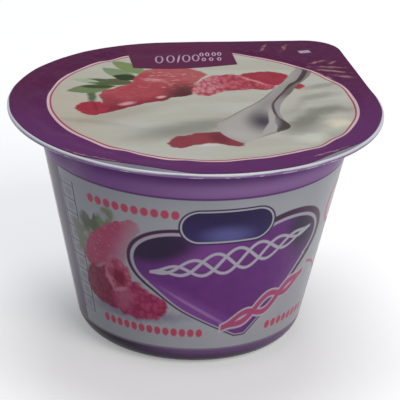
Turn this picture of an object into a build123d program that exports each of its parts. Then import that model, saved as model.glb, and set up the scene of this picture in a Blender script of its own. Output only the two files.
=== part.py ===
from build123d import *

# Sealed yogurt pot: a white moulded plastic pot with a wide flat rim, a printed wrap label let
# flush into its wall, and a foil lid sealed to the rim, with a pull tab at one side.
#
# Millimetres. +Z is up, and the origin is the centre of the foot on the surface it stands on.
# -Y is the front of the label, and the lid's pull tab points half way between +X and +Y.
# The pot is shut and opaque, so it is one solid body up to the underside of its lid.

import os
from math import acos, atan, cos, degrees, hypot, radians, sin, sqrt

# Pot
pot_height = 60.3  # foot to the rim's upper face
rim_diameter = 95.0
rim_thickness = 1.2
rim_overhang = 6.8  # rim's edge beyond the wall's line, where that meets the rim's upper face
rim_edge_radius = 0.35
under_rim_radius = 1.0  # inside corner where the wall meets the rim
wall_taper = 0.207  # radius lost for each millimetre down
heel_radius = 6.2  # rounded corner between wall and foot
foot_width = 3.2  # flat ring that the pot stands on
foot_recess = 1.6  # how far the middle of the underside is raised
foot_recess_slope = 1.4  # radius lost over the recess's side
foot_corner_radius = 0.5

# Wrap label
label_thickness = 0.12
label_top_gap = 1.6  # bare wall between the rim's underside and the label
label_heel_angle = 52.0  # degrees below the horizontal at which the label ends on the heel
label_seam_gap = 0.7  # bare strip where the label's two ends nearly meet
label_seam_direction = 90.0  # degrees from +X, at the back

# Foil lid
foil_thickness = 0.1
foil_setback = 0.4  # the foil's edge lies this far inside the rim's
seal_inset = 1.1  # from the wall's line in to where the sealed ring ends
dish_depth = 0.8  # inside the sealed ring the foil sinks by this much
tab_direction = 45.0  # degrees from +X
tab_overhang = 14.4  # how far the tab's end reaches past the foil's round edge
tab_end_radius = 9.0

rim_radius = rim_diameter / 2
rim_underside = pot_height - rim_thickness
wall_top_radius = rim_radius - rim_overhang
dish_radius = wall_top_radius - seal_inset
foil_radius = rim_radius - foil_setback
tab_reach = foil_radius + tab_overhang - tab_end_radius  # centre of the tab's rounded end

lean = atan(wall_taper)
outward = Vector(cos(lean), -sin(lean))  # the wall's normal, as (radius, height)


def wall_radius(height):
    """Outer radius of the straight wall at a height above the foot."""
    return wall_top_radius - wall_taper * (pot_height - height)


# The heel is an arc that touches both the wall and the plane of the foot.
heel_tangent_height = heel_radius * (1 - sin(lean))
heel_tangent = Vector(wall_radius(heel_tangent_height), heel_tangent_height)
heel_centre = heel_tangent - outward * heel_radius
foot_outer_radius = heel_centre.X
foot_inner_radius = foot_outer_radius - foot_width


def heel_point(angle_down, radius):
    """A point round the heel, at an angle in degrees below the horizontal."""
    way = Vector(cos(radians(angle_down)), -sin(radians(angle_down)))
    return heel_centre + way * radius


def spun(section, turn=360):
    """Stands a (radius, height) section up and spins it about the pot's axis."""
    return revolve(Plane.XZ * section, Axis.Z, turn)


def rounded_at(section, radius, height, size):
    """Rounds the corner of a section that lies nearest to (radius, height)."""
    corner = min(section.vertices(), key=lambda v: hypot(v.X - radius, v.Y - height))
    return fillet(corner, size)


def dish_arc(lift):
    """Radial line of the lid's sunken middle, from the axis to the sealed ring."""
    sphere_radius = (dish_radius**2 + dish_depth**2) / (2 * dish_depth)
    half_way = dish_radius / 2
    half_way_rise = sphere_radius - sqrt(sphere_radius**2 - half_way**2)
    bottom = pot_height - dish_depth + lift
    return ThreePointArc(
        (0, bottom),
        (half_way, bottom + half_way_rise),
        (dish_radius, pot_height + lift),
    )


def label_section():
    """The label's section: straight down the wall, then round the upper part of the heel."""
    top_height = rim_underside - label_top_gap
    top = Vector(wall_radius(top_height), top_height)
    inward = outward * -label_thickness
    inner_radius = heel_radius - label_thickness
    start = degrees(lean)
    sweep = label_heel_angle - start
    return make_face([
        Line(top, heel_tangent),
        CenterArc(heel_centre, heel_radius, -start, -sweep),
        Line(heel_point(label_heel_angle, heel_radius), heel_point(label_heel_angle, inner_radius)),
        CenterArc(heel_centre, inner_radius, -start, -sweep),
        Line(heel_tangent + inward, top + inward),
        Line(top + inward, top),
    ])


def pot_section():
    """The pot's half section, with a step in the wall that the label fills."""
    recess_edge = foot_inner_radius - foot_recess_slope
    section = make_face([
        Line((0, foot_recess), (recess_edge, foot_recess)),
        Line((recess_edge, foot_recess), (foot_inner_radius, 0)),
        Line((foot_inner_radius, 0), (foot_outer_radius, 0)),
        ThreePointArc((foot_outer_radius, 0), heel_point(45, heel_radius), heel_tangent),
        Line(heel_tangent, (wall_radius(rim_underside), rim_underside)),
        Line((wall_radius(rim_underside), rim_underside), (rim_radius, rim_underside)),
        Line((rim_radius, rim_underside), (rim_radius, pot_height)),
        Line((rim_radius, pot_height), (dish_radius, pot_height)),
        dish_arc(0),
        Line((0, pot_height - dish_depth), (0, foot_recess)),
    ])
    section = rounded_at(section, wall_radius(rim_underside), rim_underside, under_rim_radius)
    section = rounded_at(section, rim_radius, rim_underside, rim_edge_radius)
    section = rounded_at(section, rim_radius, pot_height, rim_edge_radius)
    section = rounded_at(section, foot_inner_radius, 0, foot_corner_radius)
    return section - label_section()


def make_pot():
    """The filled pot, shut and solid, with its wide rim and its foot ring."""
    return spun(pot_section())


def make_wrap_label():
    """The label goes once round, and leaves a narrow bare strip between its ends."""
    gap = degrees(label_seam_gap / wall_radius(pot_height / 2))
    return spun(label_section(), 360 - gap).rotate(Axis.Z, label_seam_direction + gap / 2)


def lid_outline():
    """A circle that runs out along two tangents to the rounded end of the pull tab."""
    spread = degrees(acos((foil_radius - tab_end_radius) / tab_reach))
    tab_centre = Vector(tab_reach, 0).rotate(Axis.Z, tab_direction)
    disc_edge = CenterArc((0, 0), foil_radius, tab_direction + spread, 360 - 2 * spread)
    tab_edge = CenterArc(tab_centre, tab_end_radius, tab_direction - spread, 2 * spread)
    return make_face([
        disc_edge,
        Line(disc_edge @ 1, tab_edge @ 0),
        tab_edge,
        Line(tab_edge @ 1, disc_edge @ 0),
    ])


def make_foil_lid():
    """The flat sealed ring with its tab, joined to the thin sunken middle."""
    flat = lid_outline() - Circle(dish_radius)
    ring = Pos(0, 0, pot_height) * extrude(flat, foil_thickness)
    bottom = pot_height - dish_depth
    dish = make_face([
        dish_arc(0),
        Line((dish_radius, pot_height), (dish_radius, pot_height + foil_thickness)),
        dish_arc(foil_thickness),
        Line((0, bottom + foil_thickness), (0, bottom)),
    ])
    return ring + spun(dish)


os.makedirs("parts", exist_ok=True)
export_step(make_pot(), "parts/pot.step")
export_step(make_wrap_label(), "parts/wrap_label.step")
export_step(make_foil_lid(), "parts/foil_lid.step")
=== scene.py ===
from math import acos, atan, atan2, cos, degrees, hypot, pi, radians, sin, sqrt

import bpy
from mathutils import Matrix, Vector, noise


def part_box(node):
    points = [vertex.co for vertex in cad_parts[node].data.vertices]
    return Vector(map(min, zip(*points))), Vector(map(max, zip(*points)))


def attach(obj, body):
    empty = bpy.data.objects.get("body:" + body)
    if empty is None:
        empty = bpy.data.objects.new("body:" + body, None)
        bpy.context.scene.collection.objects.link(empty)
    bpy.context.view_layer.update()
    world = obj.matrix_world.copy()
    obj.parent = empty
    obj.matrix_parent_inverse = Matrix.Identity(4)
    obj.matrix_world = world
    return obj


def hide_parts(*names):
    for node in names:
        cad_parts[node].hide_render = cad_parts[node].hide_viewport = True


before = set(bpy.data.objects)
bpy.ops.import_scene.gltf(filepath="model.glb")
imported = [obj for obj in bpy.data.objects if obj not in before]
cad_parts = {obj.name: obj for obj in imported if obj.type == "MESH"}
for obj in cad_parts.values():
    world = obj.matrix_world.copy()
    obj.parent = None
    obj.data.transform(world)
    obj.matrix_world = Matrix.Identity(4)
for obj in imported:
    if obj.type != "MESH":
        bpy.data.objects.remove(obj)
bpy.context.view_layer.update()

# ---------------------------------------------------------------------------------------------
# Camera. A long lens at arm's length looks down on the lid, a little from the left of the
# label's front, with the horizon slightly tipped.
# ---------------------------------------------------------------------------------------------
mm = 0.001
lid_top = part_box("foil_lid")[1][2]
camera_turn = radians(-10)
camera_back = 471.4 * mm
camera_rise = 175 * mm
camera_aim = radians(-10.235)
camera_pitch = radians(23.17)
camera_roll = radians(2.087)
lens_length = 179
sensor_width = 36
nearest_seen = 0.01
farthest_seen = 50

camera_data = bpy.data.cameras.new("camera")
camera_data.lens = lens_length
camera_data.sensor_width = sensor_width
camera_data.clip_start = nearest_seen
camera_data.clip_end = farthest_seen
camera = bpy.data.objects.new("camera", camera_data)
bpy.context.scene.collection.objects.link(camera)
camera_place = (
    camera_back * sin(camera_turn),
    -camera_back * cos(camera_turn),
    lid_top + camera_rise,
)
camera.matrix_world = (
    Matrix.Translation(camera_place)
    @ Matrix.Rotation(camera_aim, 4, "Z")
    @ Matrix.Rotation(pi / 2 - camera_pitch, 4, "X")
    @ Matrix.Rotation(camera_roll, 4, "Z")
)
bpy.context.scene.camera = camera
bpy.context.scene.view_settings.view_transform = "Standard"


# ---------------------------------------------------------------------------------------------
# Floor and light. A wide pale floor lies under a plain soft light, with the key lamp high on
# the right, so that the left of the label is the darkest.
# ---------------------------------------------------------------------------------------------
class Shade:
    """A socket of a node tree. Arithmetic on it adds Math nodes, and node() adds any other."""

    def __init__(self, tree, socket=None):
        self.tree = tree
        self.socket = socket

    def node(self, kind, settings=None, inputs=(), output=0):
        made = self.tree.nodes.new("ShaderNode" + kind)
        for name, setting in (settings or {}).items():
            if name == "stops":
                stops = made.color_ramp.elements
                while len(stops) < len(setting):
                    stops.new(1)
                for stop, (position, tint) in zip(stops, setting):
                    stop.position = position
                    stop.color = tint
            elif name == "bends":
                curve = made.mapping.curves[0]
                curve.points[0].location = setting[0]
                curve.points[-1].location = setting[-1]
                for bend in setting[1:-1]:
                    curve.points.new(*bend)
                for point in curve.points:
                    point.handle_type = "AUTO_CLAMPED"
                made.mapping.update()
            else:
                setattr(made, name, setting)
        filled = inputs.items() if isinstance(inputs, dict) else enumerate(inputs)
        for name, term in filled:
            if isinstance(term, Shade):
                self.tree.links.new(term.socket, made.inputs[name])
            else:
                made.inputs[name].default_value = term
        return Shade(self.tree, made.outputs[output] if made.outputs else None)

    def sum(self, operation, *terms):
        return self.node("Math", {"operation": operation}, terms)

    def __add__(self, other):
        return self.sum("ADD", self, other)

    def __radd__(self, other):
        return self.sum("ADD", other, self)

    def __sub__(self, other):
        return self.sum("SUBTRACT", self, other)

    def __rsub__(self, other):
        return self.sum("SUBTRACT", other, self)

    def __mul__(self, other):
        return self.sum("MULTIPLY", self, other)

    def __rmul__(self, other):
        return self.sum("MULTIPLY", other, self)

    def __truediv__(self, other):
        return self.sum("DIVIDE", self, other)

    def __rtruediv__(self, other):
        return self.sum("DIVIDE", other, self)

    def __neg__(self):
        return self.sum("MULTIPLY", self, -1)

    def __abs__(self):
        return self.sum("ABSOLUTE", self)


def screen(red, green, blue):
    """A colour as a screen shows it, from 0 to 255, made linear for the shader."""
    shares = [share / 255 for share in (red, green, blue)]
    return (*[s / 12.92 if s <= 0.04045 else ((s + 0.055) / 1.055) ** 2.4 for s in shares], 1)


def finish_tree(owner):
    """Clears the nodes of a material or a world, ready for its own."""
    owner.use_nodes = True
    owner.node_tree.nodes.clear()
    return Shade(owner.node_tree)


def seen_directly(tree):
    """1 on rays from the camera, from a reflection and through glass, and 0 on lighting rays."""
    rays = [tree.node("LightPath", output=f"Is {ray} Ray") for ray in ("Camera", "Glossy", "Transmission")]
    return tree.sum("MAXIMUM", tree.sum("MAXIMUM", rays[0], rays[1]), rays[2])


sky_strength = 0.3
floor_radius = 6
floor_glow = 0.24

studio = bpy.data.worlds.new("studio")
bpy.context.scene.world = studio
sky = finish_tree(studio)
sky_light = sky.node("Background", inputs=[screen(236, 240, 248), sky_strength])
sky.node("OutputWorld", inputs=[sky_light])

bpy.ops.object.select_all(action="DESELECT")
bpy.ops.mesh.primitive_circle_add(vertices=96, radius=floor_radius, fill_type="NGON")
floor = bpy.context.object
floor.name = "floor"
floor.data.materials.append(bpy.data.materials.new("pale_floor"))
paint = finish_tree(floor.active_material)
floor_dim = paint.node("BsdfDiffuse", inputs=[screen(150, 150, 150)])
floor_pale = paint.node("BsdfDiffuse", inputs=[screen(251, 251, 251)])
floor_lift = paint.node("Emission", inputs=[screen(255, 255, 255), floor_glow])
floor_seen = paint.node("AddShader", inputs=[floor_pale, floor_lift])
floor_finish = paint.node("MixShader", inputs=[seen_directly(paint), floor_dim, floor_seen])
paint.node("OutputMaterial", inputs=[floor_finish])


pot_low, pot_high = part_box("pot")


def area_lamp(name, azimuth, elevation, distance, size, power, tint):
    """A square soft lamp that looks at the middle of the pot."""
    lamp = bpy.data.lights.new(name, "AREA")
    lamp.shape = "SQUARE"
    lamp.size = size
    lamp.energy = power
    lamp.color = screen(*tint)[:3]
    holder = bpy.data.objects.new(name, lamp)
    bpy.context.scene.collection.objects.link(holder)
    turn, rise = radians(azimuth), radians(elevation)
    back = Vector((sin(turn) * cos(rise), -cos(turn) * cos(rise), sin(rise)))
    holder.location = Vector((0, 0, pot_high[2] / 2)) + back * distance
    holder.rotation_euler = back.to_track_quat("Z", "Y").to_euler()


area_lamp("key", azimuth=25, elevation=37, distance=1.6, size=0.9, power=9.8, tint=(255, 252, 246))
area_lamp("top_fill", azimuth=165, elevation=75, distance=1.8, size=1, power=14, tint=(250, 251, 255))

# ---------------------------------------------------------------------------------------------
# Pot. One thin moulded shell of white plastic, shut by the lid: a flat rim with a rounded,
# slightly rough edge, a tapered wall, a rounded heel and a foot ring round a raised middle.
# ---------------------------------------------------------------------------------------------
rim_radius = min(-pot_low[0], -pot_low[1], pot_high[0], pot_high[1])
rim_top = pot_high[2]
rim_thickness = 1.2 * mm
rim_overhang = 6.8 * mm
rim_edge = 0.35 * mm
wall_taper = 0.207
heel_radius = 6.2 * mm
foot_width = 3.2 * mm
foot_recess = 1.6 * mm
foot_slope = 1.8 * mm
foot_inner_turn = 0.6 * mm
foot_outer_turn = 0.5 * mm
label_step = 0.12 * mm
label_end = 52
label_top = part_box("wrap_label")[1][2]
rim_fillet = 1 * mm
rim_under = rim_top - rim_thickness
lean = degrees(atan(wall_taper))
wall_top = rim_radius - rim_overhang


def wall_radius(height):
    return wall_top - wall_taper * (rim_top - height)


def arc(centre, radius, start, end, steps):
    """Points round an arc in the (radius, height) plane, with angles in degrees from outward."""
    turns = [radians(start + (end - start) * step / steps) for step in range(steps + 1)]
    return [(centre[0] + radius * cos(turn), centre[1] + radius * sin(turn)) for turn in turns]


def spun(name, outline, steps, opening=0):
    """Draws an outline by extruding one vertex, then spins it round the pot's axis."""
    bpy.ops.object.select_all(action="DESELECT")
    bpy.ops.mesh.primitive_circle_add(vertices=3, radius=mm)
    piece = bpy.context.object
    piece.name = name
    bpy.ops.object.mode_set(mode="EDIT")
    bpy.ops.mesh.merge(type="CENTER")
    radius, height = 0, 0
    for place, (next_radius, next_height) in enumerate(outline):
        if place:
            bpy.ops.mesh.extrude_vertices_move()
        bpy.ops.transform.translate(value=(next_radius - radius, 0, next_height - height))
        radius, height = next_radius, next_height
    bpy.ops.mesh.select_all(action="SELECT")
    bpy.ops.mesh.spin(steps=steps, angle=2 * pi - opening, center=(0, 0, 0), axis=(0, 0, 1))
    bpy.ops.mesh.select_all(action="SELECT")
    bpy.ops.mesh.remove_doubles(threshold=0.01 * mm)
    bpy.ops.mesh.normals_make_consistent(inside=False)
    bpy.ops.object.mode_set(mode="OBJECT")
    bpy.ops.object.shade_smooth_by_angle(angle=radians(40))
    return piece


heel_top = heel_radius * (1 - sin(radians(lean)))
heel_centre = (wall_radius(heel_top) - heel_radius * cos(radians(lean)), heel_radius)
foot_inner = heel_centre[0] - foot_width
seal_drop = 0.12 * mm
seal_width = 3.6 * mm
seal_ledge = 0.8 * mm
lid_room = 1.8 * mm
seal_level = rim_top - seal_drop
seal_inner = rim_radius - seal_width
under_lid = rim_top - lid_room
recess_end = foot_inner - foot_slope
pot_outline = [
    (0, foot_recess),
    (recess_end, foot_recess),
    *arc((recess_end + foot_inner_turn, foot_recess - foot_inner_turn), foot_inner_turn, 90, 20, 4),
    *arc((foot_inner + foot_outer_turn, foot_outer_turn), foot_outer_turn, 200, 270, 4),
    *arc(heel_centre, heel_radius, -90, -label_end, 8),
    *arc(heel_centre, heel_radius - label_step, -label_end, -lean, 10),
    (wall_radius(label_top) - label_step, label_top),
    (wall_radius(label_top), label_top),
    *arc((wall_radius(rim_under - rim_fillet) + rim_fillet, rim_under - rim_fillet), rim_fillet, 180, 90, 6),
    *arc((rim_radius - rim_edge, rim_under + rim_edge), rim_edge, -90, 0, 6),
    *arc((rim_radius - rim_edge, seal_level - rim_edge), rim_edge, 0, 90, 6),
    (seal_inner, seal_level),
    (seal_inner - seal_ledge, under_lid),
    (0, under_lid),
]
spin_steps = 256
pot = spun("moulded_pot", pot_outline, spin_steps)


def blend(paint, share, under, over):
    """Lays one colour over another where share is 1."""
    return paint.node("Mix", {"data_type": "RGBA"}, {0: share, 6: under, 7: over}, 2)


def edge(paint, value, low, high):
    """Rises softly from 0 at low to 1 at high, or falls where low is the larger."""
    if low > high:
        return 1 - edge(paint, value, high, low)
    return paint.node("MapRange", {"interpolation_type": "SMOOTHSTEP"}, {0: value, 1: low, 2: high})


def band(paint, value, low, high, soft):
    """1 from low to high, with soft edges."""
    return edge(paint, value, low - soft, low + soft) * edge(paint, value, high + soft, high - soft)


def line(paint, value, at, width, soft):
    """1 within half a width of one value."""
    return edge(paint, abs(value - at), width / 2 + soft, width / 2 - soft)


pot.data.materials.append(bpy.data.materials.new("white_plastic"))
paint = finish_tree(pot.active_material)
place = paint.node("TexCoord", output="Object")
height = paint.node("SeparateXYZ", inputs=[place], output=2) / mm
level = paint.node("VectorMath", {"operation": "MULTIPLY"}, [place, (1, 1, 0)])
reach = paint.node("VectorMath", {"operation": "LENGTH"}, [level], "Value") / mm
mottle = paint.node("TexNoise", inputs={"Vector": place, "Scale": 90, "Detail": 3})
grain = paint.node("TexNoise", inputs={"Vector": place, "Scale": 900, "Detail": 2})
chips = paint.node("TexNoise", inputs={"Vector": place, "Scale": 240, "Detail": 2})
tint = blend(paint, mottle, screen(214, 214, 220), screen(228, 228, 233))

# The side of the rim is painted lilac up to a ragged line, a painted reflection of the purple band under it,
# with pale chips along its lower edge.
above_rim = height - rim_top / mm
painted_lilac_reflection = edge(paint, above_rim + mottle * 0.9, 0.05, -0.15) * edge(paint, above_rim, -2.4, -2)
tint = blend(paint, painted_lilac_reflection, tint, screen(150, 112, 178))
chipped = edge(paint, chips, 0.52, 0.58) * band(paint, above_rim, -1.1, -0.85, 0.08)
tint = blend(paint, chipped * 0.8, tint, screen(232, 230, 236))

# The flat of the rim is painted grey as shade where the foil stops short of its edge.
inside_edge = rim_radius / mm - reach
painted_rim_shade = edge(paint, above_rim, -0.28, -0.2) * edge(paint, inside_edge, 0.4, 0.8)
tint = blend(paint, painted_rim_shade * (0.55 + mottle * 0.5), tint, screen(104, 98, 118))
plastic_bump = paint.node("Bump", inputs={"Strength": 0.25, "Distance": 0.05 * mm, "Height": grain})
plastic = paint.node("BsdfPrincipled", inputs={
    "Base Color": tint, "Roughness": 0.16 + mottle * 0.14, "Normal": plastic_bump})
paint.node("OutputMaterial", inputs=[plastic])
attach(pot, "root")
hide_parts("pot")

# ---------------------------------------------------------------------------------------------
# Label. A printed plastic sheet, moulded into the wall from under the rim to below the heel's
# turn, glossy, with its two ends meeting in a narrow gap at the back.
# ---------------------------------------------------------------------------------------------
label_gap = 0.7 * mm
label_sheet = 0.08 * mm
label_outline = [
    *arc(heel_centre, heel_radius, -label_end, -lean, 12),
    *[(wall_radius(height * mm), height * mm) for height in (12, 20, 30, 40, 50)],
    (wall_radius(label_top), label_top),
]
gap_angle = label_gap / wall_radius(30 * mm)
label = spun("wrap_sheet", label_outline, spin_steps, gap_angle)
gap_to_back = -(pi / 2 + gap_angle / 2)
bpy.ops.object.mode_set(mode="EDIT")
bpy.ops.mesh.select_all(action="SELECT")
bpy.ops.transform.rotate(value=gap_to_back, orient_axis="Z", center_override=(0, 0, 0))
bpy.ops.object.mode_set(mode="OBJECT")
thickness = label.modifiers.new("thickness", "SOLIDIFY")
thickness.thickness = label_sheet
thickness.offset = -1
bpy.ops.object.modifier_apply(modifier="thickness")


def oval(paint, spot, centre, radii, turn=0, soft=0.15):
    """1 inside an ellipse. Soft is a share of its radius."""
    near = paint.node("Mapping", {"vector_type": "TEXTURE"}, {
        0: spot, 1: (*centre, 0), 2: (0, 0, radians(turn)), 3: (*radii, 1)})
    reach = paint.node("VectorMath", {"operation": "LENGTH"}, [near], "Value")
    return edge(paint, reach, 1 + soft, 1 - soft)


def streak(paint, spot, start, end, width, soft=0.5):
    """1 along a long thin ellipse that runs from start to end."""
    centre = ((start[0] + end[0]) / 2, (start[1] + end[1]) / 2)
    half = hypot(end[0] - start[0], end[1] - start[1]) / 2
    turn = degrees(atan2(end[1] - start[1], end[0] - start[0]))
    return oval(paint, spot, centre, (half, width / 2), turn, soft)


def depth_in(paint, spot, centre, outline):
    """How far inside a rounded free outline of (x, y) corners a point lies, along its radius."""
    corners = sorted(
        (atan2(y - centre[1], x - centre[0]) / (2 * pi) + 0.5, hypot(x - centre[0], y - centre[1]))
        for x, y in outline)
    first, last = corners[0], corners[-1]
    gap = first[0] + 1 - last[0]
    joint = last[1] + (first[1] - last[1]) * (1 - last[0]) / gap
    largest = max(reach for share, reach in corners) * 1.05
    bends = [(share, reach / largest) for share, reach in [(0, joint), *corners, (1, joint)]]
    away = paint.node("VectorMath", {"operation": "SUBTRACT"}, [spot, (*centre, 0)])
    across = paint.node("SeparateXYZ", inputs=[away])
    up = paint.node("SeparateXYZ", inputs=[away], output=1)
    share = paint.sum("ARCTAN2", up, across) / (2 * pi) + 0.5
    reach = paint.node("FloatCurve", {"bends": bends}, {0: 1, 1: share}) * largest
    return reach - paint.node("VectorMath", {"operation": "LENGTH"}, [away], "Value")


def patch(paint, spot, centre, outline, soft=0.35):
    """1 inside a rounded free outline."""
    return edge(paint, depth_in(paint, spot, centre, outline), -soft, soft)


def in_millimetres(paint):
    """The place on the object, in millimetres."""
    place = paint.node("TexCoord", output="Object")
    return paint.node("VectorMath", {"operation": "SCALE"}, {0: place, "Scale": 1 / mm})


# Across is how far round the wall from the front a place is, and up is its height.
label.data.materials.append(bpy.data.materials.new("printed_sheet"))
paint = finish_tree(label.active_material)
unrolled_radius = 35
place = in_millimetres(paint)
along_x = paint.node("SeparateXYZ", inputs=[place])
along_y = paint.node("SeparateXYZ", inputs=[place], output=1)
up = paint.node("SeparateXYZ", inputs=[place], output=2)
across = paint.sum("ARCTAN2", along_x, -along_y) * unrolled_radius
flat = paint.node("CombineXYZ", inputs=[across, up, 0])

# White ground, a little uneven.
cloud = paint.node("TexNoise", inputs={"Vector": flat, "Scale": 0.12, "Detail": 2})
tint = blend(paint, cloud, screen(190, 191, 202), screen(202, 203, 210))

# Ruled panel on the far left: a lilac stripe, a grid of lines and plain bars.
panel_start, panel_end = -51, -37.4
row_pitch = 4
tint = blend(paint, band(paint, across, panel_start, -43, 0.3), tint, screen(106, 86, 114))
row = up - paint.sum("SNAP", up, row_pitch)
ruled = band(paint, up, 10, 47.5, 0.1)
rungs = band(paint, across, panel_start, panel_end, 0.1) * line(paint, row, row_pitch / 2, 0.35, 0.2)
tint = blend(paint, rungs * ruled * 0.8, tint, screen(104, 94, 122))
bars = line(paint, row, 0.4, 1, 0.3) + line(paint, row, row_pitch - 0.4, 1, 0.3)
bars = bars * line(paint, across, -39.8, 2.6, 0.3) * ruled
tint = blend(paint, bars * 0.35, tint, screen(112, 106, 124))
rules = paint.sum("MAXIMUM", line(paint, across, panel_end, 0.4, 0.15), line(paint, across, -42.4, 0.4, 0.15))
tint = blend(paint, rules * ruled, tint, screen(98, 86, 120))

# Rows of plain pink dots over and under the fruit, and on the right.
dot_pitch = 2.4
for start, count, height in ((-32.6, 10, 45.4), (-33, 13, 10.6), (17.5, 8, 10.2)):
    beside = across - start
    beside = beside - paint.sum("SNAP", beside, dot_pitch) - dot_pitch / 2
    away = paint.sum("SQRT", beside * beside + (up - height) * (up - height) * 0.6)
    row = band(paint, across, start, start + count * dot_pitch, 0.05)
    tint = blend(paint, edge(paint, away, 1.15, 0.75) * row, tint, screen(218, 92, 122))


def jostled(paint, spot, scale, reach):
    """A place moved a little by noise, so that what is drawn there gets a ragged outline."""
    warp = paint.node("TexNoise", inputs={"Vector": spot, "Scale": scale, "Detail": 3}, output=1)
    warp = paint.node("VectorMath", {"operation": "SUBTRACT"}, [warp, (0.5, 0.5, 0.5)])
    warp = paint.node("VectorMath", {"operation": "SCALE"}, {0: warp, "Scale": reach})
    return paint.node("VectorMath", {"operation": "ADD"}, [spot, warp])


# Fruit, drawn as soft fields of colour with seeds and drupelets.
ragged = jostled(paint, flat, 0.45, 2.4)
mottle = paint.node("TexNoise", inputs={"Vector": flat, "Scale": 0.3, "Detail": 3})
tint = blend(paint, oval(paint, ragged, (-22, 14.3), (14, 1.8), 3, 0.6) * 0.6, tint, screen(124, 100, 148))
for centre, outline, leaf_tint in (
    ((-35.5, 34), [(-38.5, 28), (-39, 32), (-40, 36.5), (-36, 36), (-32.5, 38), (-31, 34), (-34, 29)],
     screen(146, 150, 136)),
    ((-33, 38), [(-35.5, 36), (-35.5, 40), (-32.5, 39), (-29.5, 41), (-29.5, 37), (-32, 35)],
     screen(108, 118, 96)),
    ((-27.5, 40.5), [(-30, 38), (-29, 41.5), (-26.3, 44), (-25.2, 43), (-26, 39.5), (-27.5, 37.5)],
     screen(140, 150, 124)),
):
    leaf = patch(paint, ragged, centre, outline, 0.9) * edge(paint, mottle, 0.25, 0.5)
    tint = blend(paint, leaf, tint, leaf_tint)
berry = depth_in(paint, ragged, (-28, 32), [
    (-36, 25.5), (-35.8, 30.5), (-31.8, 35.8), (-27.5, 39.3), (-22.5, 41.6), (-18.8, 41.6), (-20, 37),
    (-22.5, 31), (-25, 27), (-30, 24)])
seeds = paint.node("TexVoronoi", inputs={"Vector": ragged, "Scale": 0.75, "Randomness": 0.7})
berry_tint = blend(paint, mottle, screen(180, 56, 104), screen(222, 106, 144))
pale_side = edge(paint, across - up * 0.5, -45, -38)
berry_tint = blend(paint, pale_side * 0.75, berry_tint, screen(200, 174, 188))
berry_tint = blend(paint, edge(paint, seeds, 0.4, 0.1) * 0.6, berry_tint, screen(216, 152, 166))
tint = blend(paint, edge(paint, berry, -0.5, 0.6), tint, berry_tint)
drupelets = paint.node("TexVoronoi", inputs={"Vector": ragged, "Scale": 0.62, "Randomness": 0.8})
bead = edge(paint, drupelets, 0.9, 0.15)
for centre, outline, low, high in (
    ((-31, 21), [(-37.2, 17), (-37.6, 22), (-34.5, 25.4), (-29, 26), (-25, 24), (-26, 15.4), (-32, 14.6)],
     screen(130, 36, 72), screen(168, 58, 96)),
    ((-21, 18.5), [
        (-29, 17.4), (-27, 22), (-23.5, 24), (-17, 21.8), (-12.2, 17.8), (-13.4, 15), (-20, 13.4),
        (-27, 14.4)],
     screen(166, 48, 96), screen(202, 82, 124)),
    ((-25.3, 25.3), [(-29.4, 22), (-29, 27), (-26, 29.6), (-22.4, 28), (-22, 23.6), (-25, 21)],
     screen(184, 70, 112), screen(224, 122, 152)),
):
    tint = blend(paint, patch(paint, ragged, centre, outline, 0.5), tint, blend(paint, bead, low, high))
for spot, share, spot_tint in (
    (oval(paint, ragged, (-24.2, 18.6), (3, 2.2), 50, 0.8), 0.5, screen(222, 136, 166)),
    (oval(paint, ragged, (-25.3, 24.6), (2.3, 2.5), 10, 0.4), 1, screen(150, 36, 74)),
    (streak(paint, flat, (-29.4, 25), (-27.4, 19.8), 1, 0.6), 0.7, screen(224, 160, 182)),
    (streak(paint, flat, (-27.6, 19.9), (-23.4, 21.6), 1, 0.6), 0.7, screen(224, 160, 182)),
    (streak(paint, ragged, (-33, 25.4), (-30, 26.8), 1, 0.6), 0.7, screen(216, 160, 178)),
):
    tint = blend(paint, spot * share, tint, spot_tint)


def out_of_oval(paint, spot, centre, radii):
    """About how far a point lies outside an ellipse."""
    near = paint.node("Mapping", {"vector_type": "TEXTURE"}, {0: spot, 1: (*centre, 0), 3: (*radii, 1)})
    slope = paint.node("VectorMath", {"operation": "DIVIDE"}, [near, (*radii, 1)])
    reach = paint.node("VectorMath", {"operation": "LENGTH"}, [near], "Value")
    return reach * (reach - 1) / paint.node("VectorMath", {"operation": "LENGTH"}, [slope], "Value")


def beyond(across, up, start, end):
    """How far a point lies to the right of a straight line from start to end."""
    length = hypot(end[0] - start[0], end[1] - start[1])
    way = ((end[1] - start[1]) / length, -(end[0] - start[0]) / length)
    return across * way[0] + up * way[1] - (start[0] * way[0] + start[1] * way[1])


# Purple field, wide and rounded above and pointed below, with a pale and a dark outline.
field_low, field_high = 8.9, 41
left_round = out_of_oval(paint, flat, (-8.5, 31.5), (13.9, 9.9))
right_round = out_of_oval(paint, flat, (19.5, 34.5), (13.2, 9.6))
rounds = paint.sum("MINIMUM", left_round, right_round)
left_side = beyond(across, up, (-18.6, 24.7), (-10, 18))
lower_left = beyond(across, up, (-10, 17.8), (7.5, field_low))
lower_right = beyond(across, up, (11.5, 9.6), (30.2, 28.7))
sides = paint.sum("SMOOTH_MAX", paint.sum("SMOOTH_MAX", left_side, lower_left, 1), lower_right, 1)
left_trim = beyond(across, up, (-6.3, field_high), (-18.6, 24.7))
right_trim = beyond(across, up, (30.2, 28.7), (17.7, field_high))
trims = paint.sum("MAXIMUM", left_trim, right_trim)
trims = paint.sum("MAXIMUM", trims, paint.sum("MAXIMUM", up - field_high, field_low - up))
field = -paint.sum("SMOOTH_MIN", rounds, paint.sum("MAXIMUM", sides, trims), 0.6)
thick = edge(paint, up, 14, 34)
dark_line = 0.4 + thick * (0.6 + edge(paint, across, -12, 24) * 0.7)
pale_line = dark_line + 0.35 + thick * 0.55
purple = blend(paint, mottle, screen(112, 56, 132), screen(136, 72, 156))
glow = oval(paint, flat, (-3, 34.5), (8, 4.6), 10, 0.8) * 0.8
glow = glow + streak(paint, flat, (-19, 25), (6, 12), 5.6, 0.6)
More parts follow.
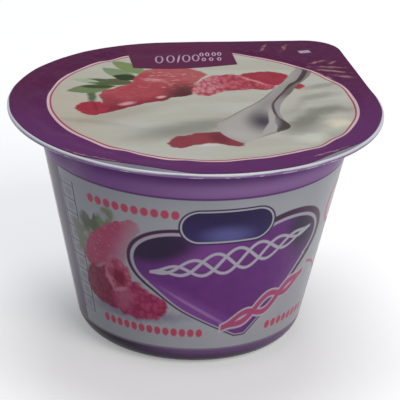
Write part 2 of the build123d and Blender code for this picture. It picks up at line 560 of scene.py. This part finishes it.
glow = glow + oval(paint, flat, (22, 21.5), (7, 2.6), 45, 0.8) * 0.5
purple = blend(paint, glow * 0.75, purple, screen(158, 90, 180))
deep = oval(paint, flat, (-14.5, 35.6), (10, 4.2), 14, 0.45)
deep = deep + oval(paint, flat, (25, 38), (5.4, 7.6), 20, 0.6)
purple = blend(paint, deep * 0.9, purple, screen(44, 36, 60))
gleam = streak(paint, flat, (-12, 23), (5, 12.6), 0.9, 0.6)
purple = blend(paint, gleam * 0.5, purple, screen(196, 170, 206))
print_edge = 0.2
tint = blend(paint, edge(paint, field, -print_edge, print_edge), tint, screen(84, 48, 84))
tint = blend(paint, edge(paint, field - dark_line, -print_edge, print_edge), tint, screen(202, 196, 212))
tint = blend(paint, edge(paint, field - pale_line, -print_edge, print_edge), tint, purple)


def ribbon(paint, across, up, start, end, low, rise, swing, waves, phase):
    """Distance from one strand of a plaited ribbon, whose strands meet at both its ends."""
    along = (across - start) / (end - start)
    turn = along * (2 * pi * waves) + phase
    reach = paint.sum("SINE", paint.node("Clamp", inputs=[along]) * pi) * swing
    slope = paint.sum("COSINE", turn) * reach * (2 * pi * waves / (end - start)) + rise
    middle = (across - start) * rise + low + paint.sum("SINE", turn) * reach
    past = paint.sum("MAXIMUM", start - across, across - end)
    return paint.sum("MAXIMUM", abs(up - middle) / paint.sum("SQRT", slope * slope + 1), past)


for start, end, low, rise, swing, waves, strands, weight, rimmed, strand_tint in (
    (-16, 27, 28.2, 0.2, 3.3, 2.5, 3, 0.42, 0, screen(212, 206, 222)),
    (4, 29, 12.2, 0.42, 2.3, 1.5, 2, 0.8, 0.55, screen(204, 92, 140)),
):
    nearest = ribbon(paint, across, up, start, end, low, rise, swing, waves, 0)
    for strand in range(1, strands):
        nearest = paint.sum("MINIMUM", nearest, ribbon(
            paint, across, up, start, end, low, rise, swing, waves, 2 * pi * strand / strands))
    if rimmed:
        rim = edge(paint, nearest, weight + rimmed + print_edge, weight + rimmed - print_edge)
        tint = blend(paint, rim, tint, screen(214, 206, 222))
    strand_part = edge(paint, nearest, weight + print_edge, weight - print_edge)
    tint = blend(paint, strand_part, tint, strand_tint)

# Blank plaque over the field's top.
plaque_middle = 2.5
plaque_level = 42.3
beside = paint.sum("MAXIMUM", abs(across - plaque_middle) - 6.6, 0)
above = up - plaque_level - (across - plaque_middle) * 0.02
plaque_out = paint.sum("SQRT", beside * beside + above * above)
tint = blend(paint, edge(paint, plaque_out, 5.2, 4.9), tint, screen(72, 52, 92))
tint = blend(paint, edge(paint, plaque_out, 4.75, 4.5), tint, screen(208, 206, 216))
plaque = blend(paint, edge(paint, up, 38, 46), screen(70, 56, 112), screen(56, 44, 88))
plaque_glow = oval(paint, flat, (plaque_middle, 39.6), (5, 2.2), 0, 0.8)
plaque = blend(paint, plaque_glow, plaque, screen(112, 110, 176))
tint = blend(paint, edge(paint, plaque_out, 4.3, 4.05), tint, plaque)

# Plain ring and arc on the right.
ring_centre = (43, 39)
tint = blend(paint, oval(paint, flat, ring_centre, (8, 7), 0, 0.04), tint, screen(208, 84, 124))
tint = blend(paint, oval(paint, flat, ring_centre, (6.6, 5.7), 0, 0.05), tint, screen(222, 200, 210))
arc_centre = (28.5, 11, 0)
arc_reach = 14.2
away = paint.node("VectorMath", {"operation": "DISTANCE"}, [flat, arc_centre], "Value")
arc_line = line(paint, away, arc_reach, 0.8, 0.25) * edge(paint, across, 30.6, 31.6) * edge(paint, up, 11, 13)
tint = blend(paint, arc_line, tint, screen(204, 76, 116))

# Plain ruled lines to both sides of the join at the back, in place of small print.
rule_pitch = 3.2
rule_end = 0.3
for start, end, low, high in ((-96, -58, 12, 44), (60, 94, 12, 40)):
    row_start = paint.sum("SNAP", up - low, rule_pitch)
    row = up - low - row_start
    short = paint.sum("FRACT", row_start * 0.37) * 9
    bars = line(paint, row, rule_pitch / 2, 0.8, 0.15) * band(paint, up, low, high, 0.05)
    bars = bars * edge(paint, across, start, start + rule_end)
    bars = bars * edge(paint, across + short, end, end - rule_end)
    tint = blend(paint, bars * 0.7, tint, screen(132, 122, 146))

# Purple band under the rim and purple foot, with thin lines between them and the white. The band carries
# painted sheen, and the foot painted shade.
# A painted sheen along the middle of the band.
painted_sheen = line(paint, up, 52.6, 3.6, 1.6) * edge(paint, across, -40, 0)
band_print_and_sheen = blend(paint, cloud, screen(150, 92, 170), screen(164, 108, 182))
band_print_and_sheen = blend(paint, painted_sheen * 0.5, band_print_and_sheen, screen(196, 160, 212))
# A painted sheen on the far left of the band.
band_print_and_sheen = blend(paint, line(paint, across - up * 0.5, -62, 4, 6) * 0.6, band_print_and_sheen, screen(198, 176, 200))
tint = blend(paint, edge(paint, up, 49.7, 50), tint, screen(112, 72, 128))
tint = blend(paint, edge(paint, up, 50.2, 50.6), tint, band_print_and_sheen)
tint = blend(paint, edge(paint, up, 5.95, 5.7), tint, screen(150, 132, 156))
# The foot is painted darker towards its bottom as shade near the floor, and much darker on the left as
# painted shadow.
foot_tint_and_shade = blend(paint, edge(paint, up, 1.6, 5), screen(60, 46, 72), screen(134, 96, 150))
foot_shadow = edge(paint, across, -6, -32) * edge(paint, across, -95, -65)
foot_tint_and_shade = blend(paint, foot_shadow * 0.9, foot_tint_and_shade, screen(24, 22, 32))
tint = blend(paint, edge(paint, up, 5.4, 5.1), tint, foot_tint_and_shade)

skin = paint.node("TexNoise", inputs={"Vector": place, "Scale": 0.5, "Detail": 2})
sheet_bump = paint.node("Bump", inputs={"Strength": 0.3, "Distance": 0.04 * mm, "Height": skin})
sheet = paint.node("BsdfPrincipled", inputs={
    "Base Color": tint, "Roughness": 0.24 + cloud * 0.1, "Specular IOR Level": 0.15, "Normal": sheet_bump})
paint.node("OutputMaterial", inputs=[sheet])
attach(label, "root")
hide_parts("wrap_label")

# ---------------------------------------------------------------------------------------------
# Lid. Printed aluminium foil, cut with a pull tab and heat sealed to the flat rim: it lies flat
# there, buckles a little where the seal ends, and sinks slightly in the middle.
# ---------------------------------------------------------------------------------------------
foil_sheet = 0.08 * mm
foil_radius = rim_radius - 0.4 * mm
foil_shift = 0.38 * mm
tab_direction = radians(45)
tab_end = 9 * mm
tab_reach = foil_radius + 14.4 * mm - tab_end
tab_spread = acos((foil_radius - tab_end) / tab_reach)
tab_side = atan2(tab_end * sin(tab_spread), tab_reach + tab_end * cos(tab_spread))
dish_radius = wall_top - 1.1 * mm
dish_depth = 0.8 * mm
most_drop = 1.5
buckle_radius = 39.6
buckle_width = 4.2
short_at_left = 2.2 * mm
short_at_right = 1.2 * mm
grid_radius = 30 * mm
foil_rings = 34


def hump(value, middle, width):
    """1 at the middle, and 0 from a width away."""
    return max(0, 1 - ((value - middle) / width) ** 2) ** 2


def foil_edge(turn):
    """Radius of the foil's cut edge, round the disc and out along the pull tab."""
    off = abs((turn - tab_direction + pi) % (2 * pi) - pi)
    if off < tab_side:
        return tab_reach * cos(off) + sqrt(tab_end ** 2 - (tab_reach * sin(off)) ** 2)
    ripple = 0.16 * mm * (noise.noise((cos(turn) * 7, sin(turn) * 7, 6.2)) - 0.6)
    if off < tab_spread:
        return foil_radius / cos(tab_spread - off) + ripple * (off - tab_side) / (tab_spread - tab_side)
    front = degrees((turn + pi / 2 + pi) % (2 * pi) - pi)
    short = short_at_left * hump(front, -27, 20) + short_at_right * hump(front, 38, 15)
    return foil_radius + ripple - short


def foil_drop(x, y):
    """How far the foil lies under its highest level, in millimetres, at a place in them."""
    reach, turn = hypot(x, y), atan2(y, x)
    dish = dish_depth / mm * max(0, 1 - (reach * mm / dish_radius) ** 2)
    ripple = noise.noise((x / 7.5, y / 7.5, 2.5))
    seal = hump(reach, buckle_radius, buckle_width) * (0.3 + 0.8 * ripple)
    dents = 0.12 * (1 + noise.noise((x / 14, y / 14, 7.1))) * hump(reach, 0, 42)
    off = abs((turn - tab_direction + pi) % (2 * pi) - pi)
    fine = 0.015 * (1 + noise.noise((x / 2.2, y / 2.2, 4.4)))
    on_rim = min(1, max(0, (reach - 40) / 3))
    lift = 0.045 * (1 + noise.noise((cos(turn) * 4, sin(turn) * 4, 1.3))) * on_rim
    creases = 0
    for start, end, width, depth in (
        ((34, 26), (44, 24), 0.9, 0.13), ((36, 23.5), (44, 20), 0.8, 0.13),
        ((38, 19), (45, 15.5), 0.8, 0.12), ((34, 29), (40, 31), 0.8, 0.12),
        ((24, 38), (27, 45), 0.9, 0.12), ((29, 36), (33, 44), 0.9, 0.12),
        ((20, -38.5), (31, -33), 0.6, 0.1),
    ):
        run = Vector(end) - Vector(start)
        share = min(1, max(0, (Vector((x, y)) - Vector(start)).dot(run) / run.length_squared))
        away = (Vector((x, y)) - Vector(start) - run * share).length
        creases += depth * hump(away, 0, width) * sin(pi * (0.15 + 0.7 * share))
    return min(most_drop, dish + max(0, seal) + dents + fine + lift + creases)


bpy.ops.object.select_all(action="DESELECT")
bpy.ops.mesh.primitive_circle_add(vertices=480, radius=grid_radius, location=(0, 0, lid_top))
lid = bpy.context.object
lid.name = "printed_foil"
bpy.ops.object.transform_apply()
bpy.ops.object.mode_set(mode="EDIT")
bpy.ops.mesh.select_all(action="SELECT")
reach = grid_radius
for ring in range(foil_rings):
    wider = grid_radius + (foil_radius - grid_radius) * (ring + 1) / foil_rings
    bpy.ops.mesh.extrude_edges_move()
    bpy.ops.transform.resize(value=(wider / reach, wider / reach, 1), center_override=(0, 0, lid_top))
    reach = wider
bpy.ops.mesh.select_all(action="DESELECT")
bpy.ops.object.mode_set(mode="OBJECT")
for edge_line in lid.data.edges:
    ends = [lid.data.vertices[corner].co for corner in edge_line.vertices]
    edge_line.select = all(hypot(end.x, end.y) < grid_radius + 0.01 * mm for end in ends)
bpy.ops.object.mode_set(mode="EDIT")
bpy.ops.mesh.select_mode(type="EDGE")
bpy.ops.mesh.fill_grid(span=120)
bpy.ops.mesh.select_all(action="SELECT")
bpy.ops.mesh.normals_make_consistent(inside=False)
bpy.ops.object.mode_set(mode="OBJECT")
for corner in lid.data.vertices:
    x, y = corner.co.x, corner.co.y
    reach, turn = hypot(x, y), atan2(y, x)
    if reach > grid_radius:
        share = (reach - grid_radius) / (foil_radius - grid_radius)
        reach = grid_radius + (foil_edge(turn) - grid_radius) * share
        x, y = reach * cos(turn), reach * sin(turn)
    corner.co = (x, y + foil_shift, lid_top - foil_drop(x / mm, y / mm) * mm)
thickness = lid.modifiers.new("thickness", "SOLIDIFY")
thickness.thickness = foil_sheet
thickness.offset = -1
bpy.ops.object.modifier_apply(modifier="thickness")
bpy.ops.object.select_all(action="DESELECT")
lid.select_set(True)
bpy.context.view_layer.objects.active = lid
bpy.ops.object.shade_smooth_by_angle(angle=radians(40))


# Across is to the right and back is away from the front. The print is shifted a little to the
# back where the foil sags.
lid.data.materials.append(bpy.data.materials.new("printed_foil"))
paint = finish_tree(lid.active_material)
sag_radius = 37
sag_shift = 2.2
place = in_millimetres(paint)
across = paint.node("SeparateXYZ", inputs=[place])
back = paint.node("SeparateXYZ", inputs=[place], output=1)
sunk = paint.sum("MAXIMUM", 1 - (across * across + back * back) / sag_radius ** 2, 0)
back = back - sunk * sag_shift
flat = paint.node("CombineXYZ", inputs=[across, back, 0])
ragged = jostled(paint, flat, 0.4, 1.8)

# Cream ground with soft folds.
folds = paint.node("Mapping", {}, {0: flat, 2: (0, 0, radians(-22)), 3: (0.035, 0.16, 1)})
folds = paint.node("TexNoise", inputs={"Vector": folds, "Scale": 1, "Detail": 2, "Distortion": 0.6})
tint = blend(paint, edge(paint, folds, 0.35, 0.65), screen(188, 185, 171), screen(193, 193, 181))
tint = blend(paint, edge(paint, across, -18, -36) * 0.7, tint, screen(191, 179, 162))
for start, end, width, share in (
    ((-17, -22), (9, -13.5), 8.5, 0.75), ((20, -21), (31, -8), 6, 0.9), ((27, -9), (39, -5), 5, 0.75),
    ((26, 0), (38, 5), 3.5, 0.5), ((30, 8), (40, 13), 3, 0.5), ((21, -12), (28, 2), 4, 0.35),
    ((24, -30), (35, -20), 5, 0.3), ((-36, -8), (-20, -14), 3, 0.3),
):
    tint = blend(paint, streak(paint, ragged, start, end, width, 0.7) * share, tint, screen(128, 127, 117))
tint = blend(paint, oval(paint, ragged, (33, -16.5), (3, 2), 20, 0.7), tint, screen(224, 214, 192))
tint = blend(paint, oval(paint, ragged, (24.5, -26), (4, 2.4), 20, 0.7) * 0.7, tint, screen(212, 213, 200))
shade = oval(paint, ragged, (-20, -6), (13, 3.4), 26, 0.7) * 0.35
tint = blend(paint, shade, tint, screen(160, 140, 124))


def blade(paint, spot, start, end, width, soft=0.25):
    """1 inside a leaf shape that is pointed at its start and end."""
    centre = ((start[0] + end[0]) / 2, (start[1] + end[1]) / 2, 0)
    half = hypot(end[0] - start[0], end[1] - start[1]) / 2
    turn = atan2(end[1] - start[1], end[0] - start[0])
    near = paint.node("Mapping", {"vector_type": "TEXTURE"}, {
        0: spot, 1: centre, 2: (0, 0, turn), 3: (half, width / 2, 1)})
    along = paint.node("SeparateXYZ", inputs=[near])
    beside = paint.node("SeparateXYZ", inputs=[near], output=1)
    return edge(paint, 1 - along * along - abs(beside), 0, soft)


# Leaves, pointed blades of green whose far tips are pale.
leaf_mottle = paint.node("TexNoise", inputs={"Vector": flat, "Scale": 0.35, "Detail": 3})
veins = paint.node("Mapping", {}, {0: ragged, 2: (0, 0, radians(-20)), 3: (0.25, 0.9, 1)})
veins = paint.node("TexNoise", inputs={"Vector": veins, "Scale": 1, "Detail": 2})
slight = jostled(paint, flat, 0.4, 0.81)
tint = blend(paint, streak(paint, slight, (-25, 13), (-25.9, 1.8), 2.2, 0.5), tint, screen(88, 104, 72))
for start, end, width, leaf_tint in (
    ((-29.2, 19.6), (-13, 14.8), 5.2, screen(80, 98, 56)),
    ((-29.8, 20.2), (-22, 17), 3, screen(166, 180, 150)),
    ((-22, 18.8), (-13, 15.4), 5, screen(92, 94, 64)),
    ((-32, 11), (-19, 13.4), 7, screen(112, 128, 86)),
    ((-28, 14.2), (-18, 13.6), 3.4, screen(60, 80, 40)),
    ((-20.6, 28.6), (-12, 17.4), 6.4, screen(130, 146, 110)),
    ((-18.6, 21.6), (-11.6, 18.6), 5.4, screen(48, 60, 32)),
    ((-17.4, 34), (-9, 21), 6, screen(126, 142, 90)),
):
    leaf = blade(paint, slight, start, end, width) * (0.8 + veins * 0.4)
    tint = blend(paint, paint.node("Clamp", inputs=[leaf]), tint, leaf_tint)

# Strawberry with a spill of puree in front of it.
berry = depth_in(paint, ragged, (-11, 9), [
    (-23.3, 3), (-23.6, 7), (-22.5, 10), (-19, 12.5), (-15, 15), (-12.8, 20), (-10.5, 23.5), (-8.5, 25.5),
    (-2, 26.6), (4, 24.4), (6.5, 21), (4.5, 18), (2.5, 14), (1.5, 10), (0.5, 6.2), (-5, 4.2), (-10, 1.5),
    (-15, -0.8), (-20, -3.5), (-24, -5.6), (-28, -6), (-24, -1)])
aslant = across + back
berry_tint = blend(paint, veins, screen(156, 40, 56), screen(186, 88, 96))
berry_tint = blend(paint, edge(paint, aslant, 6, 22) * 0.7, berry_tint, screen(180, 98, 98))
brown = edge(paint, across - back, 0, 14) * edge(paint, aslant, 2, 10)
berry_tint = blend(paint, brown * 0.5, berry_tint, screen(132, 62, 56))
grains = paint.node("Mapping", {}, {0: ragged, 2: (0, 0, radians(-62)), 3: (0.4, 0.95, 1)})
grains = paint.node("TexVoronoi", inputs={"Vector": grains, "Scale": 1, "Randomness": 0.9})
pale = edge(paint, grains, 0.5, 0.1) * (oval(paint, flat, (-4, 18), (8, 9), 0, 0.6) * 0.6 + 0.15)
berry_tint = blend(paint, pale, berry_tint, screen(214, 156, 146))
for shape, share, shade_tint in (
    (edge(paint, back - across * 0.42, 11.5, 6), 0.85, screen(134, 30, 50)),
    (oval(paint, ragged, (-21.5, 1.5), (3.6, 5), 20, 0.6), 0.45, screen(112, 26, 44)),
    (oval(paint, ragged, (-1.5, 8), (4.2, 5.6), -25, 0.8), 0.85, screen(74, 40, 42)),
):
    berry_tint = blend(paint, shape * share, berry_tint, shade_tint)
tint = blend(paint, edge(paint, berry, -0.4, 0.4), tint, berry_tint)
spill = oval(paint, ragged, (-26.4, -1.4), (4.3, 4.7), 0, 0.1)
puree = blend(paint, leaf_mottle, screen(146, 30, 48), screen(176, 52, 70))
tint = blend(paint, spill, tint, puree)
for shape, share, spot_tint in (
    (streak(paint, ragged, (-25.6, 2), (-25.4, -4), 1, 0.6), 0.6, screen(112, 36, 50)),
    (oval(paint, slight, (-17.2, 0.8), (2.2, 1), 22, 0.6), 1, screen(214, 150, 156)),
    (oval(paint, slight, (-7.8, 5), (1.3, 0.8), 20, 0.6), 1, screen(218, 168, 168)),
    (streak(paint, ragged, (-10.4, 18.4), (-5.4, 16.6), 2.2, 0.9), 0.6, screen(214, 160, 160)),
):
    tint = blend(paint, shape * share, tint, spot_tint)

# Raspberries.
beads = paint.node("Mapping", {}, {0: ragged, 2: (0, 0, radians(-24)), 3: (0.95, 0.42, 1)})
beads = paint.node("TexVoronoi", inputs={"Vector": beads, "Scale": 1, "Randomness": 1})
bead_tint = blend(paint, edge(paint, beads, 0.95, 0.1), screen(156, 48, 66), screen(192, 88, 102))
plain_tint = blend(paint, leaf_mottle, screen(148, 32, 52), screen(176, 62, 78))
paler = (0.1 + edge(paint, beads, 0.9, 0.1) * 0.7) * edge(paint, across + leaf_mottle * 8, 19, 7)
bead_tint = blend(paint, paler, bead_tint, screen(212, 150, 154))
for centre, red, outline in (
    ((21, 16), plain_tint, [
        (15.5, 20), (20, 22), (25, 21.5), (27.3, 19.5), (26.4, 15), (24, 11.6), (21, 11), (17, 15)]),
    ((10, 13), bead_tint, [
        (0.9, 7), (1.8, 12), (4.8, 17), (9, 20), (14, 20), (17, 17.5), (20.5, 13), (22.5, 9.4), (16, 8.8),
        (10, 8), (1.5, 6)]),
    ((28.6, 10.4), plain_tint, [(27, 12), (29, 12.2), (30.3, 11), (29.8, 9.2), (28.5, 8.2), (27, 9.4)]),
):
    tint = blend(paint, patch(paint, ragged, centre, outline, 0.4), tint, red)
sheen = streak(paint, ragged, (14.5, 19), (21.5, 11.5), 1, 0.7)
tint = blend(paint, sheen * 0.6, tint, screen(224, 160, 160))


def bend(paint, value, places):
    """A smooth curve through a few (value, result) places, level beyond its ends."""
    first, last = places[0][0], places[-1][0]
    lowest = min(result for start, result in places)
    spread = max(result for start, result in places) - lowest
    share = paint.node("MapRange", inputs={0: value, 1: first, 2: last})
    bends = [((start - first) / (last - first), (result - lowest) / spread) for start, result in places]
    return paint.node("FloatCurve", {"bends": bends}, {0: 1, 1: share}) * spread + lowest


# Spoon, grey steel, with a dark line down its handle, and its bowl sunk in the cream.
left = bend(paint, back, [
    (-28.4, 7.1), (-24.5, 4.3), (-21, 3), (-17, 2.9), (-12.4, 5.5), (-9.4, 8.1), (-5, 11.9), (-0.9, 15.7),
    (2.6, 18.3), (6.7, 20.9), (10.3, 23.1), (13.4, 25.3), (17.1, 27.2), (22.2, 29.6), (25, 31)])
right = bend(paint, back, [
    (-28.4, 7.4), (-26.3, 10.4), (-24, 13.8), (-21.8, 17.2), (-18.4, 20.9), (-17.4, 21), (-13.1, 20.3),
    (-9.6, 20.2), (-5.5, 20.9), (-1.4, 22.3), (2.8, 24.4), (5.7, 26.1), (10, 28.1), (13, 30.1),
    (16.1, 32.1), (20.5, 34.2), (25, 36)])
groove = bend(paint, back, [
    (-21, 18.6), (-17.1, 19.5), (-15.3, 19.1), (-10.6, 19), (-6.5, 19.1), (-3, 19.6), (1.7, 21.6),
    (5.3, 23.6), (10.1, 26.2), (12.5, 27.8), (14.3, 29.5), (17.5, 31.1), (22.6, 33.1)])
spoon = edge(paint, across - left, -print_edge, print_edge)
spoon = spoon * edge(paint, right - across, -print_edge, print_edge) * edge(paint, back, -28.6, -27.8)
for start, end, width, cream_tint in (
    ((22.5, -7), (28, 5), 3, screen(204, 198, 186)),
    ((20, -23), (30, -17), 4, screen(140, 136, 128)),
):
    tint = blend(paint, streak(paint, ragged, start, end, width, 0.8) * 0.5, tint, cream_tint)
steel = blend(paint, edge(paint, across - left, 0, 2.5), screen(170, 164, 158), screen(176, 171, 165))
neck = edge(paint, groove - across, 4.5, 1) * edge(paint, back, -8, 0)
steel = blend(paint, neck, steel, screen(158, 152, 148))
far_side = blend(paint, edge(paint, back, -1, 6), screen(158, 148, 150), screen(116, 106, 102))
far_side = blend(paint, edge(paint, back, 9, 16), far_side, screen(136, 120, 120))
steel = blend(paint, edge(paint, across - groove, -print_edge, print_edge), steel, far_side)
groove_reach = 0.35 + edge(paint, back, 7, 13) * 0.4 + edge(paint, back, -10, -17.5) * 1.4
groove_line = edge(paint, abs(across - groove) - groove_reach, 0.25, -0.25)
steel = blend(paint, groove_line * 0.95, steel, screen(68, 54, 52))
for start, end, width, soft, share, shade_tint in (
    ((4, -20), (11, -26.5), 5, 0.9, 0.6, screen(188, 184, 178)),
    ((19, 1), (13.5, -11), 3.4, 0.9, 0.6, screen(146, 138, 136)),
    ((18, -11.5), (15.2, -20.6), 3.4, 0.8, 0.7, screen(174, 169, 170)),
    ((11.5, -25.6), (19, -20.2), 1.2, 0.6, 0.5, screen(120, 114, 112)),
):
    steel = blend(paint, streak(paint, flat, start, end, width, soft) * share, steel, shade_tint)
upper_facet = beyond(across, back, (17.4, -8), (16.2, -15.1))
lower_facet = beyond(across, back, (16.2, -15.1), (13.7, -20.6))
facet = paint.sum("MINIMUM", upper_facet, lower_facet)
hollow = oval(paint, flat, (15, -14.2), (3.5, 5.8), -8, 0.9) * edge(paint, facet, -0.15, 0.2)
steel = blend(paint, hollow, steel, screen(76, 68, 77))
bowl_edge = line(paint, across - left, 0.2, 0.5, 0.25)
bowl_edge = bowl_edge * edge(paint, back, 9, 5) * edge(paint, back, -16, -10)
steel = blend(paint, bowl_edge * 0.7, steel, screen(104, 94, 92))

# Puree at the front, with a pale edge of cream under it.
spill = patch(paint, ragged, (-1.5, -25), [
    (-10.6, -29.2), (-10.4, -25.8), (-7.5, -22.6), (-4, -21.6), (0, -20.6), (3, -20.8), (4.6, -24),
    (7, -29.6), (2, -28.7), (-1, -28), (-5, -28.8)], 0.5)
tint = blend(paint, spill, tint, blend(paint, leaf_mottle, screen(132, 46, 56), screen(152, 66, 76)))
tint = blend(paint, oval(paint, ragged, (2, -24.8), (2.2, 3.6), 10, 0.7) * spill, tint, screen(118, 42, 56))
tint = blend(paint, oval(paint, ragged, (-1.5, -28.9), (3, 0.8), 0, 0.6) * 0.8, tint, screen(216, 208, 208))
tint = blend(paint, spoon, tint, steel)

# Purple border with its ring lines, and the plain box let into it at the back.
border_centre = (2, 0.4, 0)
ring_out = paint.node("VectorMath", {"operation": "DISTANCE"}, [flat, border_centre], "Value")
box_low = bend(paint, across, [(-12.3, 27.2), (-5, 26), (0, 25.8), (5, 26.2), (10, 27), (16, 28.2)])
box = band(paint, across, -12.2, 16, 0.15) * edge(paint, back - box_low, -print_edge, print_edge)
purple = blend(paint, edge(paint, back, -25, 25), screen(96, 38, 98), screen(84, 16, 61))
fleck = paint.node("TexNoise", inputs={"Vector": flat, "Scale": 0.5, "Detail": 4})
purple = blend(paint, edge(paint, fleck, 0.35, 0.75) * 0.3, purple, screen(112, 48, 108))
purple = blend(paint, box, purple, screen(94, 28, 68))
pale_ring = band(paint, ring_out, 38.95, 39.5, 0.12)
red_ring = band(paint, ring_out, 38.4, 38.8, 0.12)
tint = blend(paint, red_ring, tint, screen(170, 50, 84))
tint = blend(paint, pale_ring, tint, screen(222, 188, 196))
border = paint.sum("MAXIMUM", edge(paint, ring_out, 39.4, 39.6), box)
tint = blend(paint, border, tint, purple)

# Plain zeros in the box, and a plain mark on the tab.
stamp_tint = screen(206, 176, 200)
stamp_share = 0.85
zero_slant = -8
for centre, radii, weight in (
    ((-4.4, 33.6), (1.1, 3), 0.22), ((-1.3, 33.8), (1.1, 3), 0.22),
    ((3, 34), (1.1, 3), 0.22), ((5.6, 34.3), (1, 2.8), 0.24),
    ((7.6, 37), (0.6, 1.5), 0.4), ((9.2, 37.1), (0.6, 1.5), 0.4),
    ((11, 37.2), (0.6, 1.5), 0.4), ((12.5, 37.3), (0.6, 1.5), 0.4),
    ((7.6, 32.8), (0.6, 1.4), 0.4), ((9.6, 32.9), (0.6, 1.4), 0.4), ((11.8, 33), (0.6, 1.4), 0.4),
):
    inner_radii = (radii[0] * (1 - weight * 1.6), radii[1] * (1 - weight * 0.7))
    outer = oval(paint, flat, centre, radii, zero_slant, 0.12)
    inner = oval(paint, flat, centre, inner_radii, zero_slant, 0.15)
    tint = blend(paint, outer * (1 - inner) * stamp_share, tint, stamp_tint)
slash = streak(paint, flat, (0.2, 30.6), (1.6, 37), 0.5, 0.3)
tint = blend(paint, slash * stamp_share, tint, stamp_tint)
mark = paint.node("Mapping", {"vector_type": "TEXTURE"}, {
    0: flat, 1: (36, 37, 0), 2: (0, 0, radians(10)), 3: (1, 1, 1)})
mark_x = paint.node("SeparateXYZ", inputs=[mark])
mark_y = paint.node("SeparateXYZ", inputs=[mark], output=1)
mark = band(paint, mark_x, -1.6, 1.6, 0.2) * band(paint, mark_y, -1, 1, 0.2)
tint = blend(paint, mark * 0.85, tint, screen(190, 174, 190))

# Bare foil shows in the creases and along the cut edge, a little metallic, and its pale streaks are painted
# highlights.
glint = streak(paint, ragged, (35, 25), (43.5, 23.6), 1.5, 0.5)
for start, end, width in (
    ((37, 22.6), (44, 19.8), 1.4), ((39, 18.6), (45, 15.6), 1.5), ((35.4, 27.4), (39.5, 29.5), 1),
    ((40.5, 27), (43, 29), 0.8), ((36, 20.5), (39, 15), 0.7), ((21, -38.6), (31, -33), 0.6),
    ((24.4, 39), (26.6, 44), 0.9), ((29.6, 38), (32, 43), 0.9), ((-36, -29), (-31, -34), 0.5),
    ((-30, -34), (-22, -39.4), 0.5),
):
    glint = paint.sum("MAXIMUM", glint, streak(paint, ragged, start, end, width, 0.6))
glint = glint * edge(paint, leaf_mottle, 0.3, 0.6)
tint = blend(paint, glint * 0.7, tint, screen(216, 164, 160))

fine = paint.node("TexNoise", inputs={"Vector": place, "Scale": 1.6, "Detail": 3})
foil_bump = paint.node("Bump", inputs={"Strength": 0.35, "Distance": 0.05 * mm, "Height": fine})
foil = paint.node("BsdfPrincipled", inputs={
    "Base Color": tint,
    "Metallic": glint * 0.6,
    "Roughness": 0.34 + fleck * 0.12,
    "Specular IOR Level": 0.12,
    "Normal": foil_bump,
})
paint.node("OutputMaterial", inputs=[foil])
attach(lid, "root")
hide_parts("foil_lid")
